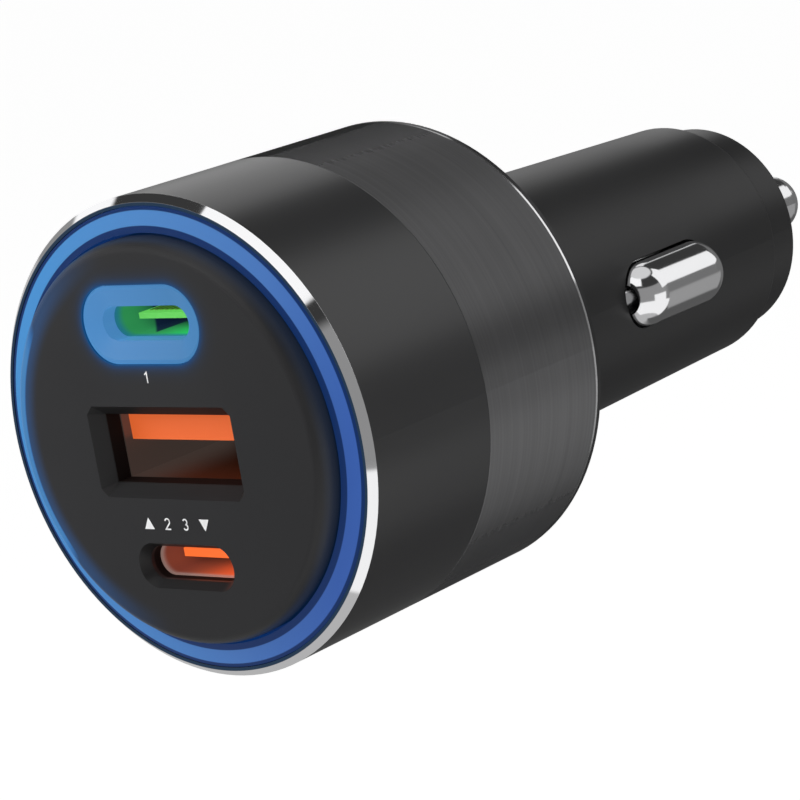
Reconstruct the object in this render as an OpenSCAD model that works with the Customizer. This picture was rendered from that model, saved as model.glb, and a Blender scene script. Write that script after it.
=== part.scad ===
// Car USB charger with three ports, for a 12 V vehicle socket
// The axis runs along Y: the face looks toward -Y and the nose points toward +Y.
// The origin is on the axis at the rear shoulder of the head. Millimetres.

/* [Head] */
// Diameter of the head at the front rim
head_d = 35; // [34:0.5:37]
// How much thinner the head is at its rear rim
head_taper = 0.3; // [0.1:0.1:0.6]
// Length of the head from the front rim to the rear shoulder
head_len = 25.8; // [25.4:0.2:28]
// Length of the front sleeve, the rest is the rear sleeve
front_sleeve_len = 12.8; // [9:0.2:16]
// Wall of both metal sleeves
sleeve_wall = 0.75; // [0.6:0.05:0.85]
// Size of the polished chamfer on the front rim
front_chamfer = 0.5; // [0.3:0.1:0.5]
// Size of the small chamfer on the rear rim
rear_chamfer = 0.05; // [0.05:0.05:0.2]
// Thickness of the black flange that shows behind the rear sleeve
flange_t = 0.3; // [0.3:0.05:0.6]

/* [Face] */
// Width of the lit ring around the face
ring_w = 1.8; // [1.6:0.1:2]
// How far the flat of the face stands in front of the head's rim
face_out = 1.85; // [1.5:0.05:2.2]
// Width of the rounded rim of the face, seen from the front
rim_across = 0.85; // [0.6:0.05:1.2]
// Depth of that rounded rim
rim_down = 1.45; // [1.1:0.05:1.5]
// Wall of the face plate
face_wall = 2.4; // [2.2:0.1:2.6]
// Distance of the upper and lower ports' middle lines from the edge of the face
port_inset = 5.96; // [5.9:0.02:6.3]
// Distance of the middle port below the axis
middle_drop = 0.45; // [0.2:0.05:0.6]
// Width of the bevel at the sides of the middle port
bevel_w = 0.72; // [0.4:0.02:0.8]
// Depth of that bevel
bevel_depth = 1.1; // [0.8:0.1:1.3]
// Cut across the four corners of that bevel
bevel_cut = 0.6; // [0.3:0.1:0.8]
// Width of the bevel around the lower port
small_bevel_w = 0.44; // [0.3:0.02:0.7]
// Width of the lit surround of the upper port
surround_w = 11.25; // [10.8:0.05:11.6]
// Height of the lit surround of the upper port
surround_h = 5.6; // [5.2:0.05:6]

/* [Ports] */
// Width of the mouth of the large port
wide_w = 12.6; // [12.4:0.1:12.8]
// Height of the mouth of the large port
wide_h = 5; // [4.8:0.1:5.2]
// Width of the mouth of the small ports
small_w = 8.4; // [8.3:0.1:8.6]
// Height of the mouth of the small ports
small_h = 2.45; // [2.4:0.05:2.8]
// Sheet of the metal port shells
shell_t = 0.3; // [0.2:0.05:0.35]
// Wall of the coloured lining in the small ports
lining_t = 0.25; // [0.2:0.05:0.3]
// Length of the port shells
shell_len = 13.4; // [12:0.2:13.6]

/* [Barrel] */
// Diameter of the straight land at the root of the barrel
land_d = 20.9; // [20.4:0.1:21]
// Length of that land
land_len = 5; // [4:0.5:7]
// Diameter of the barrel at its far end
barrel_end_d = 19.35; // [19:0.05:19.8]
// Length of the barrel
barrel_len = 34.8; // [33.6:0.2:37]
// Wall of the barrel
barrel_wall = 1.7; // [1.4:0.1:1.8]
// Diameter of the end cap's collar
collar_d = 17.36; // [17:0.02:18]
// Length of the end cap's collar
collar_len = 4.1; // [3.6:0.1:5]
// Length of the end cap's conical nose
cone_len = 4.4; // [3.6:0.2:5]

/* [Contacts] */
// Diameter of the nose contact
pin_d = 4.9; // [4.5:0.1:5.4]
// How far the nose contact stands out of the end cap
pin_out = 7.6; // [6:0.2:9]
// How far the nose contact can be pressed in
pin_travel = 4; // [3:0.5:4.5]
// Width of the side contacts
side_w = 5.1; // [4.6:0.1:5.4]
// Length of the side contacts
side_len = 11.55; // [10.5:0.05:12]
// Distance of the side contacts' middle from the head
side_y = 19.3; // [18.6:0.1:20.2]
// Distance of the side contacts' rounded axis from the plug's axis
side_x = 9.9; // [9.6:0.1:10.1]
// Bore in the front end of the side contacts
side_bore_d = 2.4; // [2:0.1:2.6]

/* [Springs] */
// Wire of the nose spring
nose_wire = 0.5; // [0.4:0.05:0.6]
// Turns of the nose spring
nose_turns = 7; // [6:1:8]
// Wire of the side springs
side_wire = 0.4; // [0.3:0.05:0.45]
// Turns of the side springs
side_turns = 8; // [7:1:9]

/* [Boards] */
// Thickness of the circuit boards
board_t = 1.2; // [1:0.1:1.4]
// Number of lamps behind the lit ring
led_count = 12; // [8:1:16]
// Diameter of the two capacitor cans
can_d = 6.3; // [5.6:0.1:6.5]
// Length of the input capacitor
can_len = 9.2; // [8:0.2:9.6]
// Height of the two inductors above the board
inductor_h = 5; // [4:0.5:6]

/* [Hidden] */
$fn = 96;

// Gap between pieces that are only slid together
slip = 0.05;
// Running clearance of the nose contact in its bore
run = 0.08;
// Clearance of a side contact in its slot
slot_gap = 0.15;
// Air between pieces that must not touch
air = 0.3;
// Bite that joins two shapes of one piece
bite = 0.1;
// Overlap that lets a cut pass cleanly through a face
cut = 1;

// Head, from the outside in
head_r = head_d / 2;
rear_r = head_r - head_taper / 2;
y_front = -head_len;
y_split = y_front + front_sleeve_len;
split_r = head_r - head_taper / 2 * front_sleeve_len / head_len;
sleeve_bore = head_r - sleeve_wall;
core_r = sleeve_bore - slip;
core_wall = 1.4;
core_bore = core_r - core_wall;
spigot_t = 1.5;
y_spigot = -flange_t - spigot_t;
seam_chamfer = 0.04;

// Light ring and the boards behind it
ring_r = sleeve_bore - slip;
ring_in = ring_r - ring_w;
ring_slope = 0.34;
ring_depth = 2.4;
y_core = y_front + ring_depth;
ring_foot_r = core_bore - slip;
ring_foot_w = 1.2;
ring_foot_len = 2.3;
seat_depth = 1.2;
y_seat = y_front + seat_depth;
y_ring_foot = y_core + ring_foot_len;
led_h = 0.6;
y_led_board = y_ring_foot + led_h + 2 * slip;
led_r = ring_foot_r - ring_foot_w / 2;
led_board_w = 3.7;
led_board_in = core_bore - led_board_w;
port_led_r = led_board_in + 0.9;
rim_w = 0.9;

// Face plate
plate_r = ring_in - 0.2;
y_face = y_front - face_out;
y_plate_back = y_face + face_wall;
plate_rim = 1.15;
small_bevel_depth = 0.8;
bevel_tall = 1.17;

// Ports
port_pitch = plate_r - port_inset;
y_mouth = y_plate_back + 2 * slip;
y_port_board = y_mouth + shell_len;
tongue_in = 0.3;
y_tongue = y_mouth + tongue_in;
throat_depth = 1.75;
y_throat = y_face + throat_depth;
pocket_depth = 1.8;
y_pocket = y_face + pocket_depth;
insert_base = 3;
mouth_lip = 0.1;
wide_tongue_w = 11.6;
wide_tongue_t = 1.84;
wide_tongue_z = 0.47;
top_tongue = [5.6, 0.42];
bottom_tongue = [6.6, 0.62];
bottom_tongue_in = 0.75;
y_bottom_tongue = y_mouth + bottom_tongue_in;
surround_flange = 0.6;
flange_back = 0.8;
surround_in = 0.12;
y_surround = y_face + surround_in;
surround_dip = 0.45;
surround_land = 0.3;
tail_w = 4;
tail_over = 0.6;

// Barrel
land_r = land_d / 2;
end_r = barrel_end_d / 2;
bore_r0 = land_r - barrel_wall;
bore_r1 = end_r - barrel_wall;
collar_r = collar_d / 2;
y_collar = barrel_len + collar_len;
y_nose = y_collar + cone_len;
spigot_len = 3.2;
spigot_r = bore_r1 - slip;
cavity_r = 4.3;
nose_wall = 2.8;
y_stop = y_nose - nose_wall;

// Nose contact
pin_r = pin_d / 2;
y_tip = y_nose + pin_out;
pin_flange_r = cavity_r - 0.2;
pin_flange_t = 1.1;
y_pin_back = y_stop - slip - pin_flange_t;
pad_t = 0.4;
boss_h = 0.9;
nose_coil_r = 2.9;
nose_boss_r = nose_coil_r - nose_wire / 2 - 0.35;
coil_spare = 1.5;
y_pad = y_pin_back - pin_travel - nose_turns * nose_wire - coil_spare;

// Side contacts
side_r = side_w / 2;
side_half = side_len / 2 - side_r;
lip_w = 0.75;
lip_t = 0.7;
lip_gap = 0.25;
lip_x = sqrt(pow(bore_r(side_y + side_len / 2 + lip_w), 2) - pow(side_r + lip_w, 2)) - lip_gap;
pocket_r = 1.95;
pocket_roof = 0.6;
pocket_x = side_x - pocket_roof;
side_coil_r = pocket_r - side_wire / 2 - 2 * slip;
ground_pad_t = 0.3;

// Boards
half_t = board_t / 2;
y_main = y_port_board + board_t;
y_neck = y_spigot - air;
head_gap = 1.6;
barrel_gap = 0.75;
main_tall = core_bore - head_gap;
main_low = bore_r1 - barrel_gap;
led_size = [1.6, 0.8];
can_r = can_d / 2;
lead_r = 0.25;
clip_w = 3;

// Bay of the main board inside the head, with two rows of components on its -X side
chip_gap = 0.5;
row_len = (y_neck - y_main - 3 * chip_gap) / 2;
y_row = y_main + 2 * chip_gap + row_len;
chip_w = 4.8;

// Points of an ellipse's arc around [x, y], from angle a0 to angle a1
function oval_arc(x, y, rx, ry, a0, a1, steps) = [
    for (i = [0 : steps])
        let (a = a0 + (a1 - a0) * i / steps)
            [x + rx * cos(a), y + ry * sin(a)]
];

// Points of a circle's arc around [x, y]
function arc(x, y, r, a0, a1, steps) = oval_arc(x, y, r, r, a0, a1, steps);

// Radius of the barrel's bore at a distance behind the head
function bore_r(y) = bore_r0 + (bore_r1 - bore_r0) * max(0, y) / barrel_len;

// A solid turned about the axis, from [radius, y] points
module turned(points) {
    rotate([-90, 0, 0])
        rotate_extrude()
            polygon(points);
}

// A front view, x across and z up, extruded from y0 to y1
module slab(y0, y1) {
    translate([0, y1, 0])
        rotate([90, 0, 0])
            linear_extrude(y1 - y0)
                children();
}

// A side view, y across and z up, extruded from x0 to x1
module plank(x0, x1) {
    translate([x0, 0, 0])
        rotate([90, 0, 90])
            linear_extrude(x1 - x0)
                children();
}

// A rectangle with two round ends
module oval(w, h) {
    square([w - h, h], center = true);
    translate([(w - h) / 2, 0])
        circle(h / 2);
    translate([(h - w) / 2, 0])
        circle(h / 2);
}

// A box between two corners
module block(a, b) {
    translate(a)
        cube(b - a);
}

// A coil spring along +Z with closed ends
module coil(r, wire, height, turns) {
    turn_count = 14;
    side_count = 6;
    steps = turns * turn_count;
    open_turns = turns - 2;
    pitch = (height - 3 * wire) / open_turns;
    function rise(t) = wire / 2 + wire * min(t, 1) + pitch * min(max(t - 1, 0), open_turns)
        + wire * max(t - 1 - open_turns, 0);
    points = [
        for (i = [0 : steps], k = [0 : side_count - 1])
            let (a = 360 * i / turn_count, b = 360 * k / side_count, q = r + wire / 2 * cos(b))
                [q * cos(a), q * sin(a), rise(i / turn_count) + wire / 2 * sin(b)]
    ];
    skin = [
        for (i = [0 : steps - 1], k = [0 : side_count - 1])
            let (n = (k + 1) % side_count, p = i * side_count)
                [p + k, p + n, p + side_count + n, p + side_count + k]
    ];
    first = [for (k = [side_count - 1 : -1 : 0]) k];
    last = [for (k = [0 : side_count - 1]) steps * side_count + k];
    polyhedron(points, concat(skin, [first, last]), convexity = 10);
}

// Outline of the large port, widened by grow on each side
module wide_outline(grow) {
    translate([0, -middle_drop])
        square([wide_w + 2 * grow, wide_h + 2 * grow], center = true);
}

// Outer outline of the large port's bevel, with cut corners
module wide_mouth() {
    x = wide_w / 2 + bevel_w;
    z = wide_h / 2 + bevel_w * bevel_tall;
    translate([0, -middle_drop])
        polygon([
            [bevel_cut - x, -z], [x - bevel_cut, -z], [x, bevel_cut - z], [x, z - bevel_cut],
            [x - bevel_cut, z], [bevel_cut - x, z], [-x, z - bevel_cut], [-x, bevel_cut - z],
        ]);
}

module small_outline(z, grow) {
    translate([0, z])
        oval(small_w + 2 * grow, small_h + 2 * grow);
}

module face_plate() {
    color([0.2, 0.2, 0.21])
        difference() {
            turned(concat(
                [[0, y_face]],
                oval_arc(plate_r - rim_across, y_face + rim_down, rim_across, rim_down, -90, 0, 10),
                [[plate_r, y_seat], [plate_r - plate_rim, y_seat],
                 [plate_r - plate_rim, y_plate_back], [0, y_plate_back]]
            ));
            slab(y_face - cut, y_plate_back + cut)
                wide_outline(0);
            slab(y_face - cut, y_plate_back + cut)
                small_outline(-port_pitch, 0);
            slab(y_pocket - slip, y_plate_back + cut)
                small_outline(-port_pitch, shell_t + lining_t + slip);
            slab(y_face - cut, y_plate_back + cut)
                translate([0, port_pitch])
                    oval(surround_w + 2 * slip, surround_h + 2 * slip);
            bevel(y_face, bevel_depth) {
                wide_mouth();
                wide_outline(0);
            }
            bevel(y_face, small_bevel_depth) {
                small_outline(-port_pitch, small_bevel_w);
                small_outline(-port_pitch, 0);
            }
        }
}

// A funnel from the first outline at y to the second one at the depth behind it
module bevel(y, depth) {
    film = 0.01;
    hull() {
        slab(y - film, y)
            children(0);
        slab(y + depth, y + depth + film)
            children(1);
    }
}

module light_ring() {
    color([0.3, 0.5, 0.85])
        turned([
            [ring_in, y_front - ring_slope + slip], [ring_r, y_front + slip], [ring_r, y_core],
            [ring_foot_r, y_core], [ring_foot_r, y_ring_foot],
            [ring_foot_r - ring_foot_w, y_ring_foot], [ring_foot_r - ring_foot_w, y_seat],
            [ring_in, y_seat],
        ]);
}

module port_light() {
    y_flange = y_plate_back + flange_back;
    color([0.35, 0.6, 0.9])
        difference() {
            union() {
                slab(y_surround, y_flange)
                    translate([0, port_pitch])
                        oval(surround_w, surround_h);
                slab(y_plate_back, y_flange)
                    translate([0, port_pitch])
                        oval(surround_w + 2 * surround_flange, surround_h + 2 * surround_flange);
                block([-tail_w / 2, y_plate_back, port_pitch + surround_h / 2],
                      [tail_w / 2, y_ring_foot, port_led_r + tail_over]);
            }
            slab(y_plate_back, y_flange + cut)
                wide_outline(shell_t + air);
            slab(y_face, y_throat + cut)
                small_outline(port_pitch, 0);
            slab(y_throat, y_ring_foot + cut)
                small_outline(port_pitch, shell_t + lining_t + slip);
            bevel(y_surround, surround_dip) {
                small_outline(port_pitch, (surround_h - small_h) / 2 - surround_land);
                small_outline(port_pitch, 0);
            }
        }
}

module front_sleeve() {
    color([0.22, 0.22, 0.23])
        turned([
            [sleeve_bore, y_front], [head_r - front_chamfer, y_front],
            [head_r, y_front + front_chamfer], [split_r, y_split - seam_chamfer],
            [split_r - seam_chamfer, y_split], [sleeve_bore, y_split],
        ]);
}

module rear_sleeve() {
    color([0.3, 0.3, 0.31])
        turned([
            [sleeve_bore, y_split], [split_r - seam_chamfer / 2, y_split],
            [split_r, y_split + seam_chamfer / 2], [rear_r, -flange_t - rear_chamfer],
            [rear_r - rear_chamfer, -flange_t], [sleeve_bore, -flange_t],
        ]);
}

module head_core() {
    ledge_t = 1;
    color([0.15, 0.15, 0.16])
        turned([
            [core_r, y_core], [core_r, y_spigot], [core_bore, y_spigot],
            [core_bore, y_port_board], [core_bore - rim_w, y_port_board],
            [core_bore - rim_w, y_port_board - ledge_t], [core_bore, y_port_board - ledge_t],
            [core_bore, y_led_board + board_t + ledge_t],
            [core_bore - rim_w, y_led_board + board_t + ledge_t],
            [core_bore - rim_w, y_led_board + board_t], [core_bore, y_led_board + board_t],
            [core_bore, y_core],
        ]);
}

module barrel_slot(side) {
    translate([0, side_y, 0])
        mirror([side < 0 ? 1 : 0, 0, 0])
            plank(side_x / 2, side_x * 1.5)
                oval(side_len + 2 * slot_gap, side_w + 2 * slot_gap);
}

module plug_body() {
    rib_w = 1;
    rib_h = 2.6;
    rib_end_gap = 2;
    rib_y = barrel_len - spigot_len - rib_end_gap;
    rib_gap = 0.15;
    rib_bite = 0.4;
    end_round = 0.35;
    color([0.16, 0.16, 0.17]) {
        difference() {
            turned(concat(
                [[bore_r0, y_spigot], [core_r - slip, y_spigot],
                 [core_r - slip, -flange_t], [rear_r, -flange_t], [rear_r, 0],
                 [land_r, 0], [land_r, land_len]],
                arc(end_r - end_round, barrel_len - end_round, end_round, 0, 90, 6),
                [[bore_r1, barrel_len], [bore_r0, 0]]
            ));
            barrel_slot(1);
            barrel_slot(-1);
        }
        // Rails that hold the edges of the main board
        for (x = [-1, 1], z = [-1, 1])
            intersection() {
                translate([x * (half_t + rib_gap + rib_w / 2), rib_y / 2, z * (main_low + rib_bite)])
                    cube([rib_w, rib_y, rib_h], center = true);
                turned([
                    [0, 0], [bore_r0 + rib_bite, 0], [bore_r1 + rib_bite, barrel_len], [0, barrel_len],
                ]);
            }
    }
}

module end_cap() {
    rim = 0.12;
    nose_round = 0.9;
    nose_land = 0.2;
    nose_start = 40;
    color([0.17, 0.17, 0.18])
        turned(concat(
            [[cavity_r, barrel_len - spigot_len], [spigot_r, barrel_len - spigot_len],
             [spigot_r, barrel_len], [collar_r, barrel_len]],
            arc(collar_r - rim, y_collar - rim, rim, 0, 90, 4),
            arc(pin_r + nose_land + nose_round, y_nose - nose_round, nose_round, nose_start, 90, 4),
            [[pin_r + run, y_nose], [pin_r + run, y_stop], [cavity_r, y_stop]]
        ));
}

module nose_contact() {
    color([0.8, 0.8, 0.8])
        turned(concat(
            [[0, y_pin_back - boss_h], [nose_boss_r, y_pin_back - boss_h], [nose_boss_r, y_pin_back],
             [pin_flange_r, y_pin_back], [pin_flange_r, y_pin_back + pin_flange_t],
             [pin_r, y_pin_back + pin_flange_t]],
            arc(0, y_tip - pin_r, pin_r, 0, 90, 14)
        ));
}

module nose_spring() {
    color([0.75, 0.75, 0.72])
        translate([0, y_pad + pad_t, 0])
            rotate([-90, 0, 0])
                coil(nose_coil_r, nose_wire, y_pin_back - y_pad - pad_t, nose_turns);
}

// The contact on the +X side, with its lip inside the barrel wall
module side_contact() {
    bore_depth = 2.2;
    root_gap = 0.1;
    translate([side_x, side_y, 0])
        difference() {
            union() {
                turned(concat(
                    arc(0, -side_half, side_r, -90, 0, 10),
                    arc(0, side_half, side_r, 0, 90, 10)
                ));
                plank(lip_x - side_x, 0)
                    oval(side_len - 2 * root_gap, side_w - 2 * root_gap);
                plank(lip_x - lip_t - side_x, lip_x - side_x)
                    oval(side_len + 2 * lip_w, side_w + 2 * lip_w);
            }
            translate([0, -side_len / 2 - cut, 0])
                rotate([-90, 0, 0])
                    cylinder(d = side_bore_d, h = bore_depth + cut);
            translate([lip_x - lip_t - side_x - cut, 0, 0])
                rotate([0, 90, 0])
                    cylinder(r = pocket_r, h = pocket_x - lip_x + lip_t + cut);
        }
}

module right_contact() {
    color([0.8, 0.8, 0.8])
        side_contact();
}

module left_contact() {
    color([0.8, 0.8, 0.8])
        mirror([1, 0, 0])
            side_contact();
}

module side_spring() {
    translate([half_t + ground_pad_t, side_y, 0])
        rotate([0, 90, 0])
            coil(side_coil_r, side_wire, pocket_x - half_t - ground_pad_t, side_turns);
}

module right_spring() {
    color([0.75, 0.75, 0.72])
        side_spring();
}

module left_spring() {
    color([0.75, 0.75, 0.72])
        rotate([0, 180, 0])
            side_spring();
}

// Steel shell of a small port at height z, from y0 to its board
module small_shell(z, y0) {
    color([0.62, 0.62, 0.64])
        difference() {
            slab(y0, y_port_board)
                small_outline(z, lining_t + shell_t);
            slab(y0 - cut, y_port_board + cut)
                small_outline(z, lining_t);
        }
}

// Coloured moulding of a small port: lining, base, and a tongue of that size from y1.
// Its bore lies inside the mouth by lip.
module small_insert(z, y0, lip, tongue, y1) {
    lining_gap = 0.02;
    difference() {
        slab(y0, y_port_board)
            small_outline(z, lining_t - lining_gap);
        slab(y0 - cut, y_port_board - insert_base)
            small_outline(z, -lip);
    }
    slab(y1, y_port_board - insert_base + bite)
        translate([0, z])
            square(tongue, center = true);
}

// Contact strips above and below a small port's tongue, which starts at y1
module small_pins(z, tongue, y1) {
    strip_count = 10;
    strip_pitch = 0.5;
    strip_w = 0.26;
    strip_t = 0.06;
    front_gap = 0.7;
    y_start = y1 + front_gap;
    y_end = y_port_board - insert_base;
    color([0.85, 0.7, 0.35])
        for (i = [0 : strip_count - 1], side = [-1, 1])
            translate([(i - (strip_count - 1) / 2) * strip_pitch, (y_start + y_end) / 2,
                       z + side * (tongue[1] + strip_t) / 2])
                cube([strip_w, y_end - y_start, strip_t], center = true);
}

module top_port_shell() {
    small_shell(port_pitch, y_throat + slip);
}

module top_port_insert() {
    color([0.35, 0.75, 0.3])
        small_insert(port_pitch, y_throat + 2 * slip, 0, top_tongue, y_tongue);
}

module top_port_pins() {
    small_pins(port_pitch, top_tongue, y_tongue);
}

module bottom_port_shell() {
    small_shell(-port_pitch, y_pocket);
}

module bottom_port_insert() {
    color([0.9, 0.4, 0.15])
        small_insert(-port_pitch, y_pocket + slip, mouth_lip, bottom_tongue, y_bottom_tongue);
}

module bottom_port_pins() {
    small_pins(-port_pitch, bottom_tongue, y_bottom_tongue);
}

module middle_port_shell() {
    color([0.62, 0.62, 0.64])
        difference() {
            slab(y_mouth, y_port_board)
                wide_outline(shell_t);
            slab(y_mouth - cut, y_port_board + cut)
                wide_outline(0);
        }
}

module middle_port_insert() {
    z_top = wide_h / 2 - middle_drop - wide_tongue_z;
    color([0.92, 0.42, 0.15]) {
        slab(y_port_board - insert_base, y_port_board)
            wide_outline(-slip);
        slab(y_tongue, y_port_board - insert_base)
            translate([-wide_tongue_w / 2, z_top - wide_tongue_t])
                square([wide_tongue_w, wide_tongue_t]);
    }
}

// Four blades under the tongue, each with a bump near its front end
module middle_port_pins() {
    blade_w = 1;
    blade_t = 0.25;
    outer_x = 3.5;
    inner_x = 1;
    y_start = y_tongue + 1;
    bump_h = 0.35;
    bump_len = 1.1;
    z_face = wide_h / 2 - middle_drop - wide_tongue_z - wide_tongue_t;
    z_blade = z_face - blade_t;
    y_back = y_port_board - insert_base;
    color([0.85, 0.7, 0.35])
        for (x = [-outer_x, -inner_x, inner_x, outer_x])
            plank(x - blade_w / 2, x + blade_w / 2)
                polygon([
                    [y_start, z_face], [y_start, z_blade], [y_start + bump_len, z_blade - bump_h],
                    [y_start + 2 * bump_len, z_blade], [y_back, z_blade], [y_back, z_face],
                ]);
}

module led_board() {
    color([0.1, 0.35, 0.2])
        turned([
            [led_board_in, y_led_board], [core_bore - slip, y_led_board],
            [core_bore - slip, y_led_board + board_t], [led_board_in, y_led_board + board_t],
        ]);
}

module leds() {
    color([0.95, 0.95, 0.8]) {
        for (i = [0 : led_count - 1])
            rotate([0, 360 * (i + 0.5) / led_count, 0])
                translate([0, y_led_board - led_h / 2, led_r])
                    cube([led_size[0], led_h, led_size[1]], center = true);
        translate([0, y_led_board - led_h / 2, port_led_r])
            cube([led_size[0], led_h, led_size[1]], center = true);
    }
}

module led_link_pins() {
    link_r = 0.3;
    edge = 1.2;
    color([0.85, 0.7, 0.35])
        for (x = [-1, 1])
            translate([x * (led_board_in + edge), y_led_board + board_t, 0])
                rotate([-90, 0, 0])
                    cylinder(r = link_r, h = y_port_board - y_led_board - board_t);
}

module port_board() {
    color([0.1, 0.35, 0.2])
        turned([
            [0, y_port_board], [core_bore - slip, y_port_board],
            [core_bore - slip, y_main], [0, y_main],
        ]);
}

module main_board() {
    color([0.1, 0.35, 0.2])
        plank(-half_t, half_t)
            polygon([
                [y_main, -main_tall], [y_neck, -main_tall], [y_neck, -main_low],
                [y_pad, -main_low], [y_pad, main_low], [y_neck, main_low],
                [y_neck, main_tall], [y_main, main_tall],
            ]);
}

// A moulded power inductor on the board's +X side, in the upper or the lower half of the bay
module inductor(side) {
    size_z = 7.6;
    middle_gap = 0.6;
    corner = 0.8;
    y0 = y_main + chip_gap;
    y1 = y_neck - chip_gap;
    z0 = side > 0 ? middle_gap : -middle_gap - size_z;
    z1 = z0 + size_z;
    color([0.25, 0.25, 0.27])
        plank(half_t, half_t + inductor_h)
            polygon([
                [y0 + corner, z0], [y1 - corner, z0], [y1, z0 + corner], [y1, z1 - corner],
                [y1 - corner, z1], [y0 + corner, z1], [y0, z1 - corner], [y0, z0 + corner],
            ]);
}

module upper_inductor() {
    inductor(1);
}

module lower_inductor() {
    inductor(-1);
}

// A capacitor can along Y on the board's +X side, with a crimp groove and two leads
module can(length) {
    y0 = 1.6;
    edge = 0.3;
    groove = 0.25;
    groove_in = 1.3;
    y_groove = y0 + groove_in;
    lead_x = 1.25;
    lead_len = 0.9;
    translate([half_t + can_r + slip, 0, 0]) {
        turned([
            [0, y0], [can_r - edge, y0], [can_r, y0 + edge], [can_r, y_groove - edge],
            [can_r - groove, y_groove], [can_r, y_groove + edge], [can_r, y0 + length - edge],
            [can_r - edge, y0 + length], [0, y0 + length],
        ]);
        for (z = [-lead_x, lead_x])
            translate([0, y0 - lead_len, z]) {
                block([-can_r - slip, 0, -lead_r], [lead_r, 2 * lead_r, lead_r]);
                block([-lead_r, 0, -lead_r], [lead_r, lead_len, lead_r]);
            }
    }
}

module input_capacitor() {
    color([0.2, 0.25, 0.4])
        can(can_len);
}

module output_capacitor() {
    shorter = 1.4;
    color([0.7, 0.7, 0.72])
        mirror([1, 0, 0])
            can(can_len - shorter);
}

// A block lying on the board's -X side, in the row that starts at y0, around height z
module chip(height, y0, length, width, z) {
    block([-half_t - height, y0, z - width / 2], [-half_t, y0 + length, z + width / 2]);
}

module power_transistors() {
    transistor_count = 4;
    edge = 1.7;
    gap = 1;
    span = 2 * (main_tall - edge);
    width = (span + gap) / transistor_count - gap;
    color([0.1, 0.1, 0.1])
        for (i = [0 : transistor_count - 1])
            chip(1, y_main + chip_gap, row_len, width, -span / 2 + width / 2 + i * (width + gap));
}

module controller_chip() {
    color([0.1, 0.1, 0.1])
        chip(0.9, y_row, row_len, chip_w, 0);
}

module chip_capacitors() {
    pair_count = 3;
    pitch = (main_tall - chip_w / 2) / (2 * pair_count - 0.5);
    color([0.7, 0.6, 0.45])
        for (i = [0 : pair_count - 1], side = [-1, 1])
            chip(0.8, y_row + row_len / 4, row_len / 2, pitch / 2.5, side * (chip_w / 2 + pitch * (i + 1.5)));
}

module fuse() {
    size = [2.4, 2.5, 4];
    color([0.85, 0.85, 0.8])
        translate([half_t, y_pad - air - size[1], -clip_w / 2 - air - size[2]])
            cube(size);
}

// Pad with a boss that centres a side spring
module ground_pad() {
    boss_r = side_coil_r - side_wire / 2 - 0.25;
    pad_boss_h = 1;
    translate([half_t, side_y, 0])
        rotate([0, 90, 0]) {
            cylinder(r = side_coil_r + side_wire, h = ground_pad_t);
            cylinder(r = boss_r, h = ground_pad_t + pad_boss_h);
        }
}

module right_ground_pad() {
    color([0.85, 0.7, 0.35])
        ground_pad();
}

module left_ground_pad() {
    color([0.85, 0.7, 0.35])
        mirror([1, 0, 0])
            ground_pad();
}

// Seat of the nose spring, clipped over the end of the main board
module battery_pad() {
    disc_r = nose_coil_r + nose_wire;
    clip_t = 0.35;
    clip_len = 2;
    color([0.85, 0.7, 0.35]) {
        turned([[0, y_pad], [disc_r, y_pad], [disc_r, y_pad + pad_t], [nose_boss_r, y_pad + pad_t],
                [nose_boss_r, y_pad + pad_t + boss_h], [0, y_pad + pad_t + boss_h]]);
        for (x = [-half_t - clip_t, half_t])
            block([x, y_pad - clip_len, -clip_w / 2], [x + clip_t, y_pad + pad_t / 2, clip_w / 2]);
    }
}

face_plate();
light_ring();
port_light();
front_sleeve();
rear_sleeve();
head_core();
plug_body();
end_cap();
nose_contact();
nose_spring();
right_contact();
left_contact();
right_spring();
left_spring();
top_port_shell();
top_port_insert();
top_port_pins();
middle_port_shell();
middle_port_insert();
middle_port_pins();
bottom_port_shell();
bottom_port_insert();
bottom_port_pins();
led_board();
leds();
led_link_pins();
port_board();
main_board();
upper_inductor();
lower_inductor();
input_capacitor();
output_capacitor();
power_transistors();
controller_chip();
chip_capacitors();
fuse();
right_ground_pad();
left_ground_pad();
battery_pad();
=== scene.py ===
# %% [markdown]
# # A car charger plug, dressed in Blender
# The charger is a short metal-clad head with three ports and two lit guides, on a black plug barrel
# with sprung contacts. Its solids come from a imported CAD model, which this script never moves. What
# is left for Blender is the finish of every surface, the coil springs, the printed marks, the light
# and the camera. Everything is placed in metres, in the CAD model's own frame: the axis runs along
# Y, the face looks towards -Y, and +Z is up. The sizes named below are in millimetres, unless a
# comment says otherwise.

# %% Load the frame
import math

import bmesh
import bpy
from mathutils import Matrix, Vector


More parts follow.
